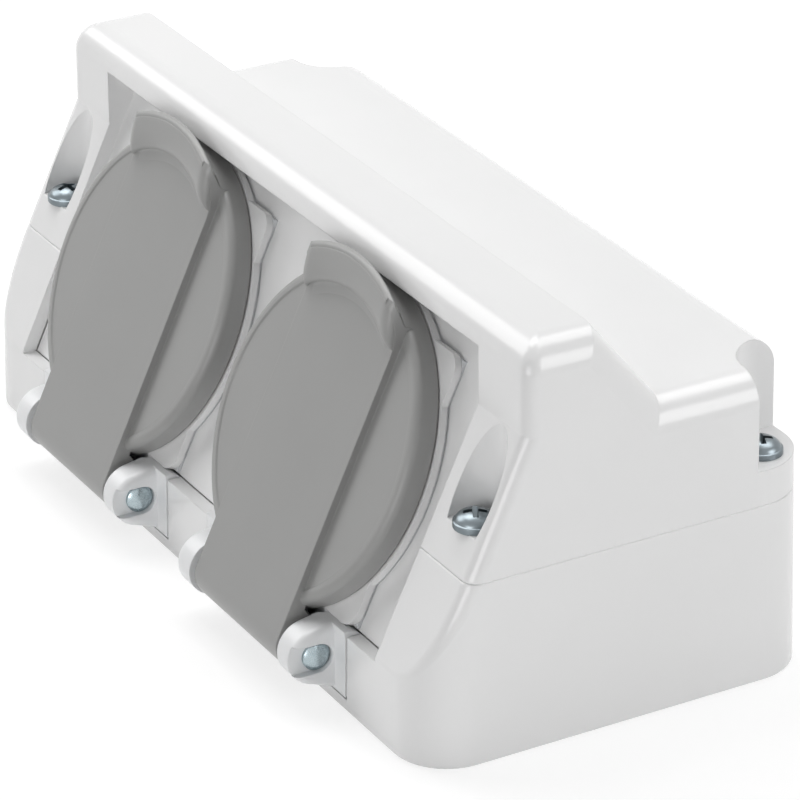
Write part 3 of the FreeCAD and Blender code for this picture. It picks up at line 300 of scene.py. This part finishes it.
def screw_body():
    """The turned head, and the shank, whose radius follows a helix round it."""
    rings = [(height, [radius] * SCREW_SEGMENTS) for radius, height in SCREW_HEAD]
    rows = int((SCREW_LENGTH - THREAD_START) / THREAD_PITCH * ROWS_PER_TURN)
    for row in range(rows + 1):
        height = -THREAD_START - row * THREAD_PITCH / ROWS_PER_TURN
        rings.append((height, [thread_radius(height, step / SCREW_SEGMENTS)
                               for step in range(SCREW_SEGMENTS)]))
    points = []
    for height, radii in rings:
        for step, radius in enumerate(radii):
            angle = step / SCREW_SEGMENTS * math.tau
            points.append((radius * math.cos(angle), radius * math.sin(angle), height))
    # The rings go down from the top, so the faces between them are turned round
    faces = [tuple(reversed(face)) for face in ring_faces(len(rings), SCREW_SEGMENTS)]
    last_ring = (len(rings) - 1) * SCREW_SEGMENTS
    faces.append(tuple(reversed(range(last_ring, last_ring + SCREW_SEGMENTS))))
    return points, faces


def recess_bar(centre, top, turn):
    """One bar of a cross recess, as a tapered block that goes down from the top of the head."""
    points = []
    for height, length_share, width_share in RECESS_LEVELS:
        along = RECESS_LENGTH / 2 * length_share
        across = RECESS_WIDTH / 2 * width_share
        for corner in ((-along, -across), (-along, across), (along, across), (along, -across)):
            place = Vector((*corner, 0))
            place.rotate(Euler((0, 0, math.radians(turn))))
            points.append((place.x + centre[0], place.y + centre[1], top + height))
    faces = [(3, 2, 1, 0), (8, 9, 10, 11)] + ring_faces(len(RECESS_LEVELS), 4)
    bar = bpy.data.objects.new("recess_bar", new_mesh("recess_bar", points, faces))
    bpy.context.scene.collection.objects.link(bar)
    return bar


def cut_away(piece, bar):
    """Takes the bar out of the piece, settles the piece's mesh and removes the bar."""
    cut = piece.modifiers.new("recess", "BOOLEAN")
    cut.operation = "DIFFERENCE"
    cut.solver = "EXACT"
    cut.object = bar
    cut_piece = piece.evaluated_get(bpy.context.evaluated_depsgraph_get())
    settled = bpy.data.meshes.new_from_object(cut_piece)
    piece.modifiers.clear()
    piece.data = settled
    bar_mesh = bar.data
    bpy.data.objects.remove(bar)
    bpy.data.meshes.remove(bar_mesh)


def add_housing_screw(corner, turn):
    node = f"housing_screw_{corner}"
    low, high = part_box(node)
    centre = [(low[axis] + high[axis]) / 2 / MM for axis in (0, 1)]
    seat = high[2] / MM - HEAD_HEIGHT
    points, faces = screw_body()
    points = [(x + centre[0], y + centre[1], z + seat) for x, y, z in points]
    piece = new_piece(f"{corner}_pan_head_screw", points, faces, zinc_plate_painted_shade, "root")
    for bar_turn in (turn, turn + 90):
        cut_away(piece, recess_bar(centre, seat + HEAD_HEIGHT, bar_turn))
    piece.data.set_sharp_from_angle(angle=SCREW_SHARP)
    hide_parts(node)


for corner, turn in SCREW_TURNS.items():
    add_housing_screw(corner, turn)


# Thumb grips: a soft roll along the inner side of each grip. Its own frame is the lid's, from the
# middle of the lid: across, up the leaning front and out of it
LEAN = math.radians(25)
LID_MIDDLE = (30.5, -25.48, 35.423)
# The roll's outline in sight and its bed inside the grip, as (radius from the middle, height out)
GRIP_PROFILE = [(21.6, 4.82), (22.2, 4.97), (22.8, 5.08), (23.3, 5.20), (23.62, 5.34), (23.78, 5.46),
                (23.66, 5.72), (23.62, 6.02), (23.72, 6.38), (24.0, 6.76), (24.5, 7.12), (25.2, 7.46),
                (26.0, 7.74), (26.9, 7.96), (27.8, 8.12), (28.4, 8.22), (28.72, 8.2), (28.9, 8.06),
                (28.94, 7.85)]
GRIP_BED = [(28.6, 7.6), (27.4, 6.2), (25.8, 5.3), (24.0, 4.7), (22.4, 4.6)]
GRIP_STATIONS = 56
GRIP_HALF = 13.74
# The roll sinks this deep into the grip over this length at both ends
END_SINK = 1.7
END_LENGTH = 2.4
# The hollow at the roll's foot lies inside this radius and below this height. Over its last
# millimetres at both ends it fades out into the strap's face
FOOT_RADIUS = 23.7
FOOT_HEIGHT = 5.4
FOOT_FADE = 3.5
FOOT_SUNK = 4.82
GRIP_SHARP = math.radians(40)


def lid_point(side, across, up, out):
    x, y, z = LID_MIDDLE
    return (side * x + across, y + up * math.sin(LEAN) - out * math.cos(LEAN),
            z + up * math.cos(LEAN) + out * math.sin(LEAN))


def grip_station(side, across):
    """The roll's outline at one place across the lid."""
    into_end = max(0.0, abs(across) - (GRIP_HALF - END_LENGTH)) / END_LENGTH
    sunk = END_SINK * (1 - math.sqrt(max(0.0, 1 - into_end ** 2)))
    fade = min(1.0, (GRIP_HALF - abs(across)) / FOOT_FADE)
    points = []
    for radius, out in GRIP_PROFILE + GRIP_BED:
        if radius < FOOT_RADIUS and out < FOOT_HEIGHT:
            out = min(out, FOOT_SUNK + (out - FOOT_SUNK) * fade)
        up = math.sqrt(radius ** 2 - across ** 2)
        points.append(lid_point(side, across, up, out - sunk))
    return points


def add_thumb_grip(label, side):
    points = []
    for station in range(GRIP_STATIONS + 1):
        # Stations crowd towards both ends, where the outline changes fastest
        points += grip_station(side, -GRIP_HALF * math.cos(math.pi * station / GRIP_STATIONS))
    count = len(GRIP_PROFILE + GRIP_BED)
    faces = ring_faces(GRIP_STATIONS + 1, count)
    faces.append(tuple(reversed(range(count))))
    faces.append(tuple(range(GRIP_STATIONS * count, (GRIP_STATIONS + 1) * count)))
    piece = new_piece(f"{label}_thumb_grip_roll", points, faces, grey_abs, f"{label}_lid")
    piece.data.set_sharp_from_angle(angle=GRIP_SHARP)


for label, side in (("left", -1), ("right", 1)):
    add_thumb_grip(label, side)


# Studio

# Softboxes round the object, each aimed at its middle: where it stands and its power in watts. The
# strongest hangs high, so the end wall, the rims and the recess stay in half shade
SOFTBOXES = {
    "left_softbox": ((-0.638, -0.369, 0.546), 2.5),
    "high_softbox": ((-0.380, 0.0, 0.846), 3.6),
    "right_softbox": ((0.732, 0.423, 0.338), 2.9),
    "back_softbox": ((0.0, 0.380, 0.846), 2.7),
    "low_softbox": ((0.446, -0.772, 0.155), 2.8),
}
SOFTBOX_SIZE = 0.5
MIDDLE = Vector((0, 0, 0.03))
FLOOR_SIZE = 4.0
FLOOR_GAP = 0.05 * MM
# How bright the floor shows itself, how much of the object's shadow it keeps, and how far from the
# object it turns fully white
FLOOR_GLOW = 1.16
SHADOW_DEPTH = 0.35
WHITE_FROM, WHITE_TO = 0.25, 0.7


def add_camera():
    data = bpy.data.cameras.new("camera")
    data.lens = CAMERA_LENS
    data.sensor_width = CAMERA_SENSOR
    data.clip_start = CAMERA_CLIP
    camera = bpy.data.objects.new("camera", data)
    camera.location = CAMERA_PLACE
    camera.rotation_euler = CAMERA_TURN
    bpy.context.scene.collection.objects.link(camera)
    bpy.context.scene.camera = camera


def add_softbox(name, place, power):
    data = bpy.data.lights.new(name, "AREA")
    data.shape = "SQUARE"
    data.size = SOFTBOX_SIZE
    data.energy = power
    lamp = bpy.data.objects.new(name, data)
    lamp.location = place
    lamp.rotation_euler = (MIDDLE - Vector(place)).to_track_quat("-Z", "Y").to_euler()
    bpy.context.scene.collection.objects.link(lamp)


def background_rays(owner):
    """1 where a ray shows the background itself: seen straight, in a gloss or through glass."""
    path = add_node(owner, "ShaderNodeLightPath")
    seen = add_node(owner, "ShaderNodeMath", {"operation": "MAXIMUM"})
    links = owner.node_tree.links
    links.new(path.outputs["Is Camera Ray"], seen.inputs[0])
    links.new(path.outputs["Is Glossy Ray"], seen.inputs[1])
    both = add_node(owner, "ShaderNodeMath", {"operation": "MAXIMUM"})
    links.new(seen.outputs[0], both.inputs[0])
    links.new(path.outputs["Is Transmission Ray"], both.inputs[1])
    return both.outputs[0]


def add_world():
    """A white room that shows, but lights nothing: the softboxes do that."""
    world = bpy.data.worlds.new("studio")
    world.use_nodes = True
    world.node_tree.nodes.clear()
    bpy.context.scene.world = world
    light = add_node(world, "ShaderNodeBackground", {"Color": linear("#ffffff")},
                     {"Strength": background_rays(world)})
    add_node(world, "ShaderNodeOutputWorld", None, {"Surface": light.outputs["Background"]})


def add_floor(height):
    """A white floor that keeps part of the object's shadow, however bright the room is."""
    mesh = bpy.data.meshes.new("floor")
    half = FLOOR_SIZE / 2
    corners = [(-half, -half, height), (half, -half, height), (half, half, height), (-half, half, height)]
    mesh.from_pydata(corners, [], [(0, 1, 2, 3)])
    floor = bpy.data.objects.new("floor", mesh)
    bpy.context.scene.collection.objects.link(floor)
    material = new_material("white_paper_floor")
    paper = add_node(material, "ShaderNodeBsdfDiffuse", {"Color": linear("#f4f4f4")})
    white = add_node(material, "ShaderNodeEmission", {"Color": linear("#ffffff"), "Strength": FLOOR_GLOW})
    # Away from the object, where no lamp reaches, the floor is as white as the room
    place = add_node(material, "ShaderNodeTexCoord")
    distance = add_node(material, "ShaderNodeVectorMath", {"operation": "LENGTH"},
                        {"Vector": place.outputs["Object"]})
    whiteness = add_node(material, "ShaderNodeMapRange",
                         {"From Min": WHITE_FROM, "From Max": WHITE_TO,
                          "To Min": 1 - SHADOW_DEPTH, "To Max": 1.0},
                         {"Value": distance.outputs["Value"]})
    share = add_node(material, "ShaderNodeMath", {"operation": "MULTIPLY"})
    material.node_tree.links.new(background_rays(material), share.inputs[0])
    material.node_tree.links.new(whiteness.outputs["Result"], share.inputs[1])
    mixed = add_node(material, "ShaderNodeMixShader", None, {"Fac": share.outputs[0]})
    material.node_tree.links.new(paper.outputs[0], mixed.inputs[1])
    material.node_tree.links.new(white.outputs[0], mixed.inputs[2])
    add_node(material, "ShaderNodeOutputMaterial", None, {"Surface": mixed.outputs[0]})
    mesh.materials.append(material)


add_camera()
add_world()
add_floor(cad_box[0][2] - FLOOR_GAP)
for name, (place, power) in SOFTBOXES.items():
    add_softbox(name, place, power)

bpy.context.scene.view_settings.view_transform = "Standard"
